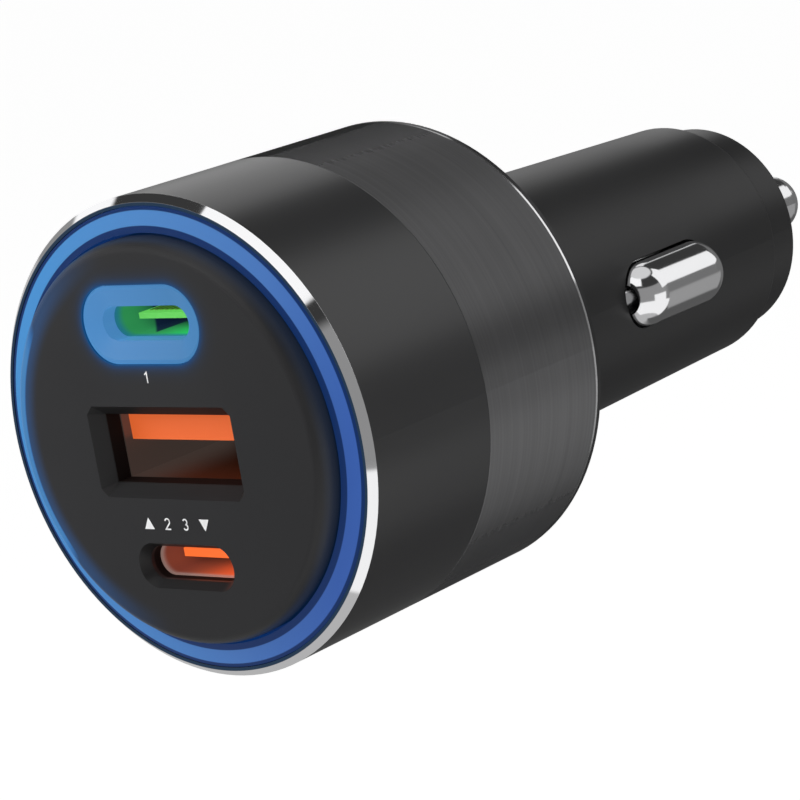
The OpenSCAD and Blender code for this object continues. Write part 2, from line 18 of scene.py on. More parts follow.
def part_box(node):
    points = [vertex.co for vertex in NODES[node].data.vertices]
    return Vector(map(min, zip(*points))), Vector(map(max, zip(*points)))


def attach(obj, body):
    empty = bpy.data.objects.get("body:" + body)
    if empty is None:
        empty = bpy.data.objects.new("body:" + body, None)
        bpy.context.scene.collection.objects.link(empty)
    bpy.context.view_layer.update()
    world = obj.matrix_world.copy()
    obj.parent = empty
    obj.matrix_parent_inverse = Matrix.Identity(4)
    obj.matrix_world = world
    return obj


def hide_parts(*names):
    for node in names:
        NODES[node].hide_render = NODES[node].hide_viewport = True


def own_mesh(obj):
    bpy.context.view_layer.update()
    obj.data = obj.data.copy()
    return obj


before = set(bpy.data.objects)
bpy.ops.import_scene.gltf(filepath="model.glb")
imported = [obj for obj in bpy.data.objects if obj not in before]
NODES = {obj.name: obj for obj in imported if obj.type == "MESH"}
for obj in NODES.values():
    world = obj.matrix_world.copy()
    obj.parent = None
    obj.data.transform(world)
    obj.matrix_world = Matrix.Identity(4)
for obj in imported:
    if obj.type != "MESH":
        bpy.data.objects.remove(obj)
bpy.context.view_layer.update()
MM = 0.001
BODY = "charger"
scene = bpy.context.scene

# %% [markdown]
# ## The camera
# The rings of the head are circles in the real world and ellipses in the picture, so they say where
# the camera stood: a long lens, 25 cm away, up and to the right of the face, held with a slight
# roll. The camera is placed by its own three directions, because a roll can't be read from a
# look-at point.

# %% Camera
CAMERA_PLACE = Vector((161.02, -180.26, 46.00)) * MM
LOOK = Vector((-0.657878, 0.725525, -0.202016))
RIGHT = Vector((0.753110, 0.635414, -0.170510))
LENS = 146.5


def make_camera():
    """The photograph's view, from its place, its line of sight and the direction of its right side."""
    data = bpy.data.cameras.new("camera")
    data.sensor_width = 36
    data.lens = LENS
    data.clip_start = 0.01
    data.clip_end = 100
    camera = bpy.data.objects.new("camera", data)
    back = -LOOK.normalized()
    right = (RIGHT - back * RIGHT.dot(back)).normalized()
    turn = Matrix((right, back.cross(right), back)).transposed().to_4x4()
    camera.matrix_world = Matrix.Translation(CAMERA_PLACE) @ turn
    scene.collection.objects.link(camera)
    scene.camera = camera


make_camera()
print("camera at", [round(v, 3) for v in scene.camera.location])

# %% [markdown]
# ## A studio in the world's shader
# Black satin and polished metal show little but what they mirror. A product studio therefore hangs
# white panels where the metal should shine, and leaves gaps where it should go dark. Here the
# panels are soft rectangles in the world's shader, each with an azimuth, an elevation and a size.
# That is cheaper than real panels, and none of them can get into the picture. The camera itself,
# and what is seen through glass, gets plain white.

# %% Node helpers
def value_node(tree, operation, *inputs):
    """One Math node. Each input is a number or another node's output."""
    node = tree.nodes.new("ShaderNodeMath")
    node.operation = operation
    for socket, given in zip(node.inputs, inputs):
        if isinstance(given, bpy.types.NodeSocket):
            tree.links.new(given, socket)
        else:
            socket.default_value = given
    return node.outputs[0]


def times(tree, first, second):
    """One value times another."""
    return value_node(tree, "MULTIPLY", first, second)


def plus(tree, first, second):
    """The sum of two values."""
    return value_node(tree, "ADD", first, second)


def minus(tree, first, second):
    """The first value less the second."""
    return value_node(tree, "SUBTRACT", first, second)


def larger(tree, first, second):
    """The larger of two values."""
    return value_node(tree, "MAXIMUM", first, second)


def smaller(tree, first, second):
    """The smaller of two values."""
    return value_node(tree, "MINIMUM", first, second)


def under(tree, first, second):
    """1 where the first is less than the second."""
    return value_node(tree, "LESS_THAN", first, second)


def above(tree, first, second):
    """1 where the first is more than the second."""
    return value_node(tree, "GREATER_THAN", first, second)


def size_of(tree, given):
    """The value without its sign."""
    return value_node(tree, "ABSOLUTE", given)


def long_side(tree, first, second):
    """The long side of a right-angled triangle with these two short ones."""
    return value_node(tree, "SQRT", plus(tree, times(tree, first, first), times(tree, second, second)))


def range_node(tree, given, low, high, to_low=0.0, to_high=1.0, kind="SMOOTHSTEP"):
    """One Map Range node, which turns low..high into to_low..to_high."""
    node = tree.nodes.new("ShaderNodeMapRange")
    node.interpolation_type = kind
    tree.links.new(given, node.inputs["Value"])
    limits = {"From Min": low, "From Max": high, "To Min": to_low, "To Max": to_high}
    for name, number in limits.items():
        node.inputs[name].default_value = number
    return node.outputs["Result"]


# %% The studio
# Each panel: azimuth, elevation, half width, half height, soft edge (all in degrees), strength.
# Azimuth 0 is in front of the face, 90 is to the right of it and 180 is behind the nose.
PANELS = {
    "key": (-3, 50.5, 37, 13, 2, 1.04),
    "low_right": (66, -44, 74, 21, 3, 0.96),
    "right_side": (98, -20, 22, 16, 4, 0.96),
    "high_right": (139, 34, 27, 22, 3, 0.96),
    "rear_left": (-142, 32, 12, 24, 5, 0.8),
    "overhead": (0, 80, 180, 15, 6, 0.68),
    "left_strip": (-94, 27, 5, 8, 2, 1.04),
    "left_low": (-121, -16, 8, 18, 8, 0.52),
    "rear_low": (152, -24, 10, 11, 12, 0.32),
}
# The room's brightness in front of the object and behind it, of its walls and its floor
WALL = (0.28, 0.16)
GROUND = (0.48, 0.1)
CEILING = 0.04
# What surfaces that don't mirror receive from all sides
AMBIENT = 0.32
# Where the room's front turns into its back, and the heights of its two soft edges, in degrees
FRONT_TO_BACK = (115.0, 150.0)
WALL_TO_GROUND = (-18.0, -28.0)
WALL_TO_CEILING = (26.0, 31.0)


def seen_straight(tree):
    """1 for what the camera sees itself or through glass."""
    path = tree.nodes.new("ShaderNodeLightPath").outputs
    return larger(tree, path["Is Camera Ray"], path["Is Transmission Ray"])


def blend_node(tree, factor, low, high):
    """The value between low and high at the factor."""
    return plus(tree, low, times(tree, factor, minus(tree, high, low)))


def make_world():
    """White for the camera, soft panels for whatever shines, and an even grey for the rest."""
    world = bpy.data.worlds.new("studio")
    world.use_nodes = True
    tree = world.node_tree
    tree.nodes.clear()
    place = tree.nodes.new("ShaderNodeTexCoord").outputs["Generated"]
    split = tree.nodes.new("ShaderNodeSeparateXYZ")
    tree.links.new(place, split.inputs[0])
    x, y, z = split.outputs
    azimuth = value_node(tree, "ARCTAN2", x, times(tree, y, -1.0))
    azimuth = value_node(tree, "DEGREES", azimuth)
    elevation = value_node(tree, "DEGREES", value_node(tree, "ARCSINE", z))
    behind = range_node(tree, size_of(tree, azimuth), *FRONT_TO_BACK)
    wall = blend_node(tree, behind, *WALL)
    ground = blend_node(tree, behind, *GROUND)
    light = blend_node(tree, range_node(tree, elevation, *WALL_TO_GROUND), wall, ground)
    light = blend_node(tree, range_node(tree, elevation, *WALL_TO_CEILING), light, CEILING)
    for azim, elev, half_w, half_h, soft, strength in PANELS.values():
        off_a = size_of(tree, minus(tree, azimuth, float(azim)))
        off_e = size_of(tree, minus(tree, elevation, float(elev)))
        wide = range_node(tree, off_a, half_w, half_w + soft, 1.0, 0.0)
        tall = range_node(tree, off_e, half_h, half_h + soft, 1.0, 0.0)
        light = larger(tree, light, times(tree, times(tree, wide, tall), strength))
    path = tree.nodes.new("ShaderNodeLightPath").outputs
    light = blend_node(tree, path["Is Glossy Ray"], AMBIENT, light)
    background = tree.nodes.new("ShaderNodeBackground")
    background.inputs["Color"].default_value = (1, 1, 1, 1)
    tree.links.new(blend_node(tree, seen_straight(tree), light, 1.0), background.inputs["Strength"])
    output = tree.nodes.new("ShaderNodeOutputWorld")
    tree.links.new(background.outputs[0], output.inputs[0])
    scene.world = world


make_world()
scene.view_settings.view_transform = "Standard"
print("world with", len(PANELS), "panels")

# %% [markdown]
# ## Lamps and floor
# Two broad lamps and a small one near the face give the plastic its soft shading. They stay out of
# the mirrors, which already have the panels. The charger is held by its socket when in use, so it
# floats here, and the floor lies well below it, where its shadow is soft.

# %% Lamps and floor
# Each lamp: its place, its size and its power, in metres and watts
LAMPS = {
    "key": ((0.10, -0.45, 0.55), 0.35, 1.2),
    "fill": ((0.55, -0.35, 0.05), 0.4, 1.2),
    "near_left": ((-0.08, -0.10, 0.06), 0.06, 0.16),
}
# The floor's height and width in metres, its colour, and what the camera's rays add to it
FLOOR_Z = -0.30
FLOOR_SIZE = 12.0
FLOOR_WHITE = 0.8
FLOOR_LIFT = 0.73


def make_lamp(name, place, size, power):
    """A square area lamp that faces the head."""
    data = bpy.data.lights.new(name, "AREA")
    data.size = size
    data.energy = power
    lamp = bpy.data.objects.new(name, data)
    lamp.location = place
    lamp.rotation_euler = (-Vector(place)).to_track_quat("-Z", "Y").to_euler()
    lamp.visible_glossy = False
    lamp.visible_camera = False
    scene.collection.objects.link(lamp)


def make_floor():
    """A white floor with a lift for the rays that see it, so that it is white but keeps the shadow."""
    mesh = bpy.data.meshes.new("floor")
    half = FLOOR_SIZE / 2
    corners = ((-half, -half), (half, -half), (half, half), (-half, half))
    mesh.from_pydata([(x, y, FLOOR_Z) for x, y in corners], [], [(0, 1, 2, 3)])
    floor = bpy.data.objects.new("floor", mesh)
    scene.collection.objects.link(floor)
    material = bpy.data.materials.new("floor_white")
    material.use_nodes = True
    tree = material.node_tree
    shader = tree.nodes["Principled BSDF"]
    shader.inputs["Base Color"].default_value = (FLOOR_WHITE, FLOOR_WHITE, FLOOR_WHITE, 1)
    shader.inputs["Roughness"].default_value = 0.9
    shader.inputs["Specular IOR Level"].default_value = 0.0
    shader.inputs["Emission Color"].default_value = (1, 1, 1, 1)
    tree.links.new(times(tree, seen_straight(tree), FLOOR_LIFT), shader.inputs["Emission Strength"])
    mesh.materials.append(material)
    floor.visible_glossy = False


for lamp_name, (place, size, power) in LAMPS.items():
    make_lamp(lamp_name, place, size, power)
make_floor()
print(len(LAMPS), "lamps, and a floor", -FLOOR_Z, "m below the axis")

# %% [markdown]
# ## Finishes
# Every finish is one Principled shader whose colour, roughness and bump come from a few procedural
# nodes on Object coordinates, because the CAD pieces have no UV map. One starting function makes
# the shader, and small functions add what the finish needs.

# %% Material helpers
def new_material(name, color, roughness, metallic=0.0, specular=0.5):
    """A Principled material and its tree."""
    material = bpy.data.materials.new(name)
    material.use_nodes = True
    shader = material.node_tree.nodes["Principled BSDF"]
    shader.inputs["Base Color"].default_value = (*color, 1)
    shader.inputs["Roughness"].default_value = roughness
    shader.inputs["Metallic"].default_value = metallic
    shader.inputs["Specular IOR Level"].default_value = specular
    return material, material.node_tree, shader


def object_place(tree, scale=(1.0, 1.0, 1.0)):
    """The point on the piece, in metres, stretched by scale."""
    mapping = tree.nodes.new("ShaderNodeMapping")
    mapping.inputs["Scale"].default_value = scale
    tree.links.new(tree.nodes.new("ShaderNodeTexCoord").outputs["Object"], mapping.inputs["Vector"])
    return mapping.outputs["Vector"]


def axis_place(tree):
    """The point's x, y and z in millimetres."""
    split = tree.nodes.new("ShaderNodeSeparateXYZ")
    tree.links.new(object_place(tree, (1 / MM, 1 / MM, 1 / MM)), split.inputs[0])
    return split.outputs["X"], split.outputs["Y"], split.outputs["Z"]


def noise_node(tree, place, scale, detail=3.0):
    """Noise with so many waves to a metre."""
    node = tree.nodes.new("ShaderNodeTexNoise")
    node.inputs["Scale"].default_value = scale
    node.inputs["Detail"].default_value = detail
    tree.links.new(place, node.inputs["Vector"])
    return node.outputs["Fac"]


def add_bump(tree, shader, height, depth):
    """Bump from a height of 0 to 1, at a real depth in metres."""
    bump = tree.nodes.new("ShaderNodeBump")
    bump.inputs["Strength"].default_value = 1.0
    bump.inputs["Distance"].default_value = depth
    tree.links.new(height, bump.inputs["Height"])
    tree.links.new(bump.outputs[0], shader.inputs["Normal"])


def mix_color(tree, factor, low, high):
    """A colour between low and high. Each is a colour or another node's output."""
    node = tree.nodes.new("ShaderNodeMix")
    node.data_type = "RGBA"
    if isinstance(factor, bpy.types.NodeSocket):
        tree.links.new(factor, node.inputs["Factor"])
    else:
        node.inputs["Factor"].default_value = factor
    for name, given in (("A", low), ("B", high)):
        socket = next(s for s in node.inputs if s.name == name and s.type == "RGBA")
        if isinstance(given, bpy.types.NodeSocket):
            tree.links.new(given, socket)
        else:
            socket.default_value = (*given, 1)
    return next(s for s in node.outputs if s.type == "RGBA")


# Most of a noise lies between these two values
NOISE_SPAN = (0.3, 0.7)


def vary(tree, shader, place, scale, low, high, rough_low, rough_high):
    """Slow variation of colour and roughness over a piece."""
    cloud = noise_node(tree, place, scale)
    tree.links.new(mix_color(tree, cloud, low, high), shader.inputs["Base Color"])
    rough = range_node(tree, cloud, *NOISE_SPAN, rough_low, rough_high)
    tree.links.new(rough, shader.inputs["Roughness"])


def band_node(tree, given, low, high, soft):
    """1 between low and high, and 0 a soft edge beyond them."""
    rise = range_node(tree, given, low - soft, low)
    return times(tree, rise, range_node(tree, given, high, high + soft, 1.0, 0.0))


def dress(material, *names):
    """Puts a material in the slots of CAD nodes."""
    for name in names:
        for slot in NODES[name].material_slots:
            slot.material = material
    print(material.name, "on", ", ".join(names))


# %% [markdown]
# ## Moulded black plastic
# The barrel, the end cap and the flange are one black plastic with a very fine spark-eroded grain.
# The grain is bump: at a tenth of a millimetre it is far too small for geometry. The face plate is
# smoother, and it catches blue light from the two guides near it, which is painted as a faint glow
# that dies out within a millimetre.

# %% Plastics
# Waves to a metre of the fine grain and of the slow clouds, and how far the clouds go
GRAIN = 9000.0
CLOUDS = 60.0
CLOUD_TONE = 1.15
CLOUD_ROUGH = 0.03


def moulded_black(name, tone, roughness, grain_depth, specular):
    """Black plastic with a fine grain. The depth of the grain is in metres."""
    material, tree, shader = new_material(name, tone, roughness, specular=specular)
    place = object_place(tree)
    lighter = tuple(c * CLOUD_TONE for c in tone)
    vary(tree, shader, place, CLOUDS, tone, lighter, roughness - CLOUD_ROUGH, roughness + CLOUD_ROUGH)
    add_bump(tree, shader, noise_node(tree, place, GRAIN, 2.0), grain_depth)
    return material, tree, shader


barrel_black = moulded_black("barrel_black", (0.021, 0.021, 0.0215), 0.37, 1e-6, 0.3)[0]
core_black = moulded_black("core_black", (0.02, 0.02, 0.02), 0.6, 4e-6, 0.4)[0]
dress(barrel_black, "plug_body", "end_cap")
dress(core_black, "head_core")

# %% [markdown]
# ## The face plate
# The face has three openings with bevels, and they read as dark only if light dies in them. Paths of
# light in so small a hole cost many samples, so the material helps with painted shade: it is darker,
# and also rougher, behind the bevels. Next to the oval guide the face has painted shade too, and the
# guide's blue is painted on as a glow. Both fade as real scattered light does, by the same share for
# every step, which is what an exponent gives.

# %% Face plate with its glow
BLACK = (0.0, 0.0, 0.0)
# Along the axis: the flat front, where an opening's bevel starts, and where it ends in its wall
FACE_Y = -27.65
BEVEL_Y = FACE_Y + 0.02
WALL_Y = (-26.65, -26.45)
# The radius of the flat front and of the rim
FLAT_R = 13.8
FACE_RIM = 14.7
# Painted shade in the openings: on the bevels, and darker still on the walls behind them
BEVEL_SHADE = (0.0145, 0.0145, 0.015)
WALL_SHADE = (0.0025, 0.0025, 0.0025)
WALL_ROUGH = 0.45
# The oval guide: half its height, its middle, half its width, how its painted glow fades, how strong that glow
# is, and how much painted shade darkens the face next to it
PILL_HALF = 2.85
PILL_Z = 8.74
PILL_HALF_W = 5.68
PILL_FADE = 0.28
PILL_GLOW = 0.18
PILL_SHADE = 0.75
# The ring's glow on the rim, and the wider one on the left
RIM_FADE = 0.4
RIM_GLOW = 0.015
LEFT_GLOW = 0.13
LEFT_R = (12.3, 13.7)
LEFT_X = (-2.0, -12.0)
# Painted light on the front edge of the rim on the far left
EDGE_GLOW = 0.9
EDGE_R = (13.45, 13.7)
EDGE_X = (-10.3, -12.3)
EDGE_Y = (FACE_Y + 0.14, FACE_Y + 0.3)
GLOW = (0.0, 0.3, 1.0)
RIM_LIT = (0.04, 0.2, 0.44)


def face_black():
    """Black plastic with painted shade in its openings and next to the pill, and the guides' blue painted on as
    a glow for a millimetre.
    """
    material, tree, shader = moulded_black("face_black", (0.0185, 0.0185, 0.0195), 0.42, 2e-6, 0.3)
    x, y, z = axis_place(tree)
    radius = long_side(tree, x, z)
    # The openings and their bevels lie behind the flat front and inside the rounded rim
    opening = times(tree, above(tree, y, BEVEL_Y), under(tree, radius, FLAT_R))
    cloudy = shader.inputs["Base Color"].links[0].from_socket
    # Painted shade: the bevels darker than the face, and the walls behind them darker still
    deep = range_node(tree, y, *WALL_Y)
    hole = mix_color(tree, deep, BEVEL_SHADE, WALL_SHADE)
    plain = mix_color(tree, opening, cloudy, hole)
    # Rougher walls keep the ports' orange out of the openings
    rough = shader.inputs["Roughness"].links[0].from_socket
    rougher = times(tree, times(tree, opening, deep), WALL_ROUGH)
    tree.links.new(plus(tree, rough, rougher), shader.inputs["Roughness"])
    # Distance from the pill, whose middle line is a segment along X
    beyond = larger(tree, minus(tree, size_of(tree, x), PILL_HALF_W - PILL_HALF), 0.0)
    far = long_side(tree, beyond, minus(tree, z, PILL_Z))
    past = larger(tree, minus(tree, far, PILL_HALF), 0.0)
    fade = value_node(tree, "EXPONENT", value_node(tree, "DIVIDE", past, -PILL_FADE))
    pill = times(tree, fade, PILL_GLOW)
    # Painted shade: the face's colour is darker next to the pill, fading with the glow
    pill_shaded = mix_color(tree, times(tree, fade, PILL_SHADE), plain, BLACK)
    tree.links.new(pill_shaded, shader.inputs["Base Color"])
    rim = range_node(tree, radius, FACE_RIM, FACE_RIM - RIM_FADE, RIM_GLOW, 0.0)
    left = range_node(tree, radius, *LEFT_R, 0.0, LEFT_GLOW)
    left = times(tree, left, range_node(tree, x, *LEFT_X))
    # On the far left the front edge of the rim gets painted light, as bright as the ring itself
    bright = times(tree, range_node(tree, radius, *EDGE_R), range_node(tree, x, *EDGE_X))
    bright = times(tree, bright, range_node(tree, y, *EDGE_Y, EDGE_GLOW, 0.0))
    # The pill's glow goes on into its hole, and the rim's stays outside the openings
    rim = times(tree, larger(tree, rim, left), minus(tree, 1.0, opening))
    glow = larger(tree, pill, larger(tree, rim, bright))
    tree.links.new(glow, shader.inputs["Emission Strength"])
    tree.links.new(mix_color(tree, bright, GLOW, RIM_LIT), shader.inputs["Emission Color"])
    return material


dress(face_black(), "face_plate")

# %% [markdown]
# ## Printed marks
# The real face has small white marks between its ports. These are only numbers for the ports, and
# arrows that say which port a number belongs to. Each digit is one pen stroke, a line of points
# that gets a constant width. Ink has hardly any thickness, but a mark without thickness would fight
# with the face for the same pixels, so each one stands a hundredth of a millimetre proud.

# %% Pen strokes for the port numbers
INK_T = 0.01
DIGIT_H = 0.87
PEN = 0.12
# A stroke's corner is never drawn out further than this share allows
MITRE_LIMIT = 0.4
ARROW = (0.95, 0.85)
# Each mark: what it is, and its middle on the face
LOW_Z = -5.6
MARKS = (("1", -0.3, 4.99), ("up", -2.85, LOW_Z), ("2", -1.0, LOW_Z), ("3", 0.75, LOW_Z), ("down", 2.62, LOW_Z))


def bow(x, y, radius, first, last, steps=12):
    """Points of an arc from one angle to another, in degrees."""
    turns = [math.radians(first + (last - first) * i / steps) for i in range(steps + 1)]
    return [(x + radius * math.cos(a), y + radius * math.sin(a)) for a in turns]


# Each digit's stroke, in a cell one unit tall with its middle at the origin
STROKES = {
    "1": [(-0.18, 0.25), (0.06, 0.44), (0.06, -0.44)],
    "2": bow(0, 0.19, 0.25, 165, -35) + [(-0.27, -0.44), (0.29, -0.44)],
    "3": bow(-0.01, 0.22, 0.22, 155, -70) + bow(-0.01, -0.2, 0.24, 65, -155),
}


def stroke_mesh(points):
    """A line of points as a flat ribbon as wide as the pen, with mitred corners."""
    spots = [Vector(p) for p in points]
    verts = []
    for i, spot in enumerate(spots):
        before = (spot - spots[i - 1]).normalized() if i else (spots[1] - spot).normalized()
        after = (spots[i + 1] - spot).normalized() if i + 1 < len(spots) else before
        across = Vector((-(before + after).y, (before + after).x)).normalized()
        across *= PEN / 2 / max(MITRE_LIMIT, across.dot(Vector((-before.y, before.x))))
        verts += [(*(spot + across), 0), (*(spot - across), 0)]
    quads = [(2 * i, 2 * i + 1, 2 * i + 3, 2 * i + 2) for i in range(len(spots) - 1)]
    mesh = bpy.data.meshes.new("stroke")
    mesh.from_pydata(verts, [], quads)
    mesh.transform(Matrix.Scale(DIGIT_H, 4))
    return mesh


def mark_outline(mark):
    """A mark as a flat mesh in its own X and Y."""
    if mark in STROKES:
        return stroke_mesh(STROKES[mark])
    wide, tall = ARROW
    tip = tall / 2 if mark == "up" else -tall / 2
    mesh = bpy.data.meshes.new(mark)
    mesh.from_pydata([(-wide / 2, -tip, 0), (wide / 2, -tip, 0), (0, tip, 0)], [], [(0, 1, 2)])
    return mesh


def print_marks():
    """All marks as one piece, lifted by the ink's thickness and closed at the back."""
    sheet = bmesh.new()
    for mark, x, z in MARKS:
        flat = mark_outline(mark)
        flat.transform(Matrix.Translation((x, FACE_Y, z)) @ Matrix.Rotation(math.radians(90), 4, "X"))
        sheet.from_mesh(flat)
    front = bmesh.ops.extrude_face_region(sheet, geom=sheet.faces[:])
    for vert in (v for v in front["geom"] if isinstance(v, bmesh.types.BMVert)):
        vert.co.y -= INK_T
    bmesh.ops.recalc_face_normals(sheet, faces=sheet.faces)
    bmesh.ops.scale(sheet, vec=(MM, MM, MM), verts=sheet.verts)
    mesh = bpy.data.meshes.new("port_marks")
    sheet.to_mesh(mesh)
    sheet.free()
    marks = bpy.data.objects.new("port_marks", mesh)
    scene.collection.objects.link(marks)
    ink, tree, shader = new_material("ink_white", (0.78, 0.78, 0.78), 0.5, specular=0.3)
    vary(tree, shader, object_place(tree), 2500.0, (0.66, 0.66, 0.66), (0.8, 0.8, 0.8), 0.45, 0.6)
    mesh.materials.append(ink)
    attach(marks, BODY)
    print("port marks:", len(mesh.polygons), "faces")


print_marks()

# %% [markdown]
# ## Light guides
# The ring and the oval are milky mouldings lit from behind. A surface that glows evenly looks
# painted. The real ring is bright only in its middle, where the diodes stand behind it, and dark
# along both edges, and its blue deepens from the left to the right. Part of each colour is the
# plastic's own, so that the guides still answer to the light around them.

# %% Lit plastic
RING_BAND = (15.42, 16.40)
RING_COLORS = ((0.059, 0.266, 0.606), (0.062, 0.175, 0.483), (0.04, 0.115, 0.421))
RING_EDGE = (0.003, 0.0255, 0.122)
PILL_COLORS = ((0.076, 0.262, 0.578), (0.066, 0.237, 0.52), (0.056, 0.212, 0.456))
# How much of a guide's colour is the plastic's own, and how much is light
OWN_SHARE = 0.2
GLOW_SHARE = 0.75
# Half the ring's width, how far its colours lean with the height, and where the second one stands
RING_HALF = 16.0
RING_LEAN = 0.35
RING_MIDDLE = 0.72
BAND_SOFT = 0.08
MILK_GRAIN = 5000.0


def ramp_node(tree, factor, colors, middle):
    """Three colours in a row, with the second one at the middle."""
    node = tree.nodes.new("ShaderNodeValToRGB")
    stops = node.color_ramp.elements
    stops[1].position = middle
    stops.new(1.0)
    for stop, color in zip(stops, colors):
        stop.color = (*color, 1)
    tree.links.new(factor, node.inputs["Fac"])
    return node.outputs["Color"]


def lit_blue(name, colors, half_width, band=None):
    """A milky guide. Its colour runs from left to right, and outside the band it is nearly dark."""
    material, tree, shader = new_material(name, colors[1], 0.3, specular=0.3)
    x, _, z = axis_place(tree)
    lean = minus(tree, x, times(tree, z, RING_LEAN)) if band else x
    across = range_node(tree, lean, -half_width, half_width, kind="LINEAR")
    color = ramp_node(tree, across, colors, RING_MIDDLE if band else 0.5)
    if band:
        lit = band_node(tree, long_side(tree, x, z), *band, BAND_SOFT)
        color = mix_color(tree, lit, RING_EDGE, color)
    tree.links.new(color, shader.inputs["Emission Color"])
    shader.inputs["Emission Strength"].default_value = GLOW_SHARE
    own = tree.nodes.new("ShaderNodeHueSaturation")
    own.inputs["Value"].default_value = OWN_SHARE
    tree.links.new(color, own.inputs["Color"])
    tree.links.new(own.outputs["Color"], shader.inputs["Base Color"])
    add_bump(tree, shader, noise_node(tree, object_place(tree), MILK_GRAIN, 2.0), 1e-6)
    return material


dress(lit_blue("ring_blue", RING_COLORS, RING_HALF, RING_BAND), "light_ring")
dress(lit_blue("pill_blue", PILL_COLORS, PILL_HALF_W), "port_light")

# %% [markdown]
# ## Metal sleeves
# Both sleeves are turned aluminium. The front one is lacquered black to a soft gloss, and its front
# chamfer was cut after that, so it is bare and mirror bright. The rear one is dark anodised and
# keeps the fine lines of the lathe tool, with a bright cut at its end. The lines run round the
# axis, so the noise that makes them is stretched: many waves along Y and few round it. They also
# spread every reflection along the axis, which is what the shader's anisotropy is for.

# %% Sleeves
# The front sleeve's chamfer, the land in front of it, and the cut at the rear sleeve's end
CHAMFER_Y = -25.29
LAND_R = 16.98
LAND_Y = -25.79
END_CUT_Y = -0.55
BARE = (0.9, 0.9, 0.91)
LACQUER = ((0.026, 0.026, 0.027), (0.032, 0.032, 0.033))
# The land's painted shade, for the dark gap beside the ring, and the ring's blue painted on it as a glow, with
# its strength
LAND_SHADE = (0.004, 0.004, 0.004)
LAND_GLOW_BLUE = (0.01, 0.07, 0.17)
LAND_GLOW = 0.35
SATIN_ROUGH = 0.3
CUT_ROUGH = 0.05
SATIN_GRAIN = 12000.0
ANODISED = ((0.145, 0.145, 0.148), (0.215, 0.215, 0.218))
TURNED_ROUGH = 0.44
END_CUT_ROUGH = 0.1
# Waves to a metre across, along and across the axis
TOOL_LINES = (40.0, 4500.0, 40.0)


def satin_sleeve():
    """Black lacquer on metal, a bare chamfer, and painted shade on the narrow front land, with the ring's blue
    painted on it as a glow.
    """
    material, tree, shader = new_material("sleeve_satin", (0.029, 0.029, 0.03), SATIN_ROUGH)
    x, y, z = axis_place(tree)
    cut = times(tree, under(tree, y, CHAMFER_Y), above(tree, long_side(tree, x, z), LAND_R))
    land = times(tree, under(tree, y, LAND_Y), minus(tree, 1.0, cut))
    cloud = noise_node(tree, object_place(tree), 80.0)
    black = mix_color(tree, cloud, *LACQUER)
    # Painted shade on the land, for the gap between sleeve and ring
    black = mix_color(tree, land, black, LAND_SHADE)
    tree.links.new(mix_color(tree, cut, black, BARE), shader.inputs["Base Color"])
    tree.links.new(cut, shader.inputs["Metallic"])
    tree.links.new(range_node(tree, cut, 0.0, 1.0, SATIN_ROUGH, CUT_ROUGH), shader.inputs["Roughness"])
    tree.links.new(times(tree, land, LAND_GLOW), shader.inputs["Emission Strength"])
    shader.inputs["Emission Color"].default_value = (*LAND_GLOW_BLUE, 1)
    grain = noise_node(tree, object_place(tree), SATIN_GRAIN, 2.0)
    add_bump(tree, shader, times(tree, grain, minus(tree, 1.0, cut)), 8e-7)
    return material


def turned_sleeve():
    """Dark anodised metal with tool lines, and a bright cut at the rear end."""
    material, tree, shader = new_material("sleeve_turned", (0.18, 0.18, 0.183), TURNED_ROUGH, metallic=0.95)
    rim = above(tree, axis_place(tree)[1], END_CUT_Y)
    lines = noise_node(tree, object_place(tree, TOOL_LINES), 1.0)
    tone = mix_color(tree, lines, *ANODISED)
    tree.links.new(mix_color(tree, rim, tone, BARE), shader.inputs["Base Color"])
    tree.links.new(range_node(tree, rim, 0.0, 1.0, TURNED_ROUGH, END_CUT_ROUGH), shader.inputs["Roughness"])
    # Grooves round the axis stretch a reflection along it
    shader.inputs["Anisotropic"].default_value = 0.9
    along = tree.nodes.new("ShaderNodeCombineXYZ")
    along.inputs["Y"].default_value = 1.0
    tree.links.new(along.outputs[0], shader.inputs["Tangent"])
    shader.inputs["Specular Tint"].default_value = (0.0, 0.0, 0.0, 1)
    add_bump(tree, shader, times(tree, lines, minus(tree, 1.0, rim)), 3e-6)
    return material


dress(satin_sleeve(), "front_sleeve")
dress(turned_sleeve(), "rear_sleeve")

# %% [markdown]
# ## Plated contacts, steel shells and gold strips
# The contacts are brass with bright nickel, nearly a mirror. The port shells are stamped steel,
# duller, and inside them the contact strips are gold plated.

# %% Metals
def lighter_by(color, share):
    """The colour with each part multiplied, and never over 1."""
    return tuple(min(1.0, c * share) for c in color)


def bright_metal(name, color, roughness, waviness):
    """Metal with slow clouds. The waviness is the depth of its bump in metres."""
    material, tree, shader = new_material(name, color, roughness, metallic=1.0)
    place = object_place(tree)
    vary(tree, shader, place, 300.0, color, lighter_by(color, 1.05), roughness, roughness + CLOUD_ROUGH)
    add_bump(tree, shader, noise_node(tree, place, 900.0, 1.0), waviness)
    return material


spring_steel = bright_metal("spring_steel", (0.6, 0.6, 0.6), 0.25, 2e-6)
dress(bright_metal("nickel", (0.86, 0.86, 0.87), 0.1, 5e-7), "nose_contact")
# The side contact's rounded bar: its axis, the middle and half the length of its straight part,
# its radius, and how far a point may be off it
SIDE_X, SIDE_Y, SIDE_HALF, SIDE_R, SIDE_OFF = 9.9, 19.3, 3.225, 2.55, 0.04


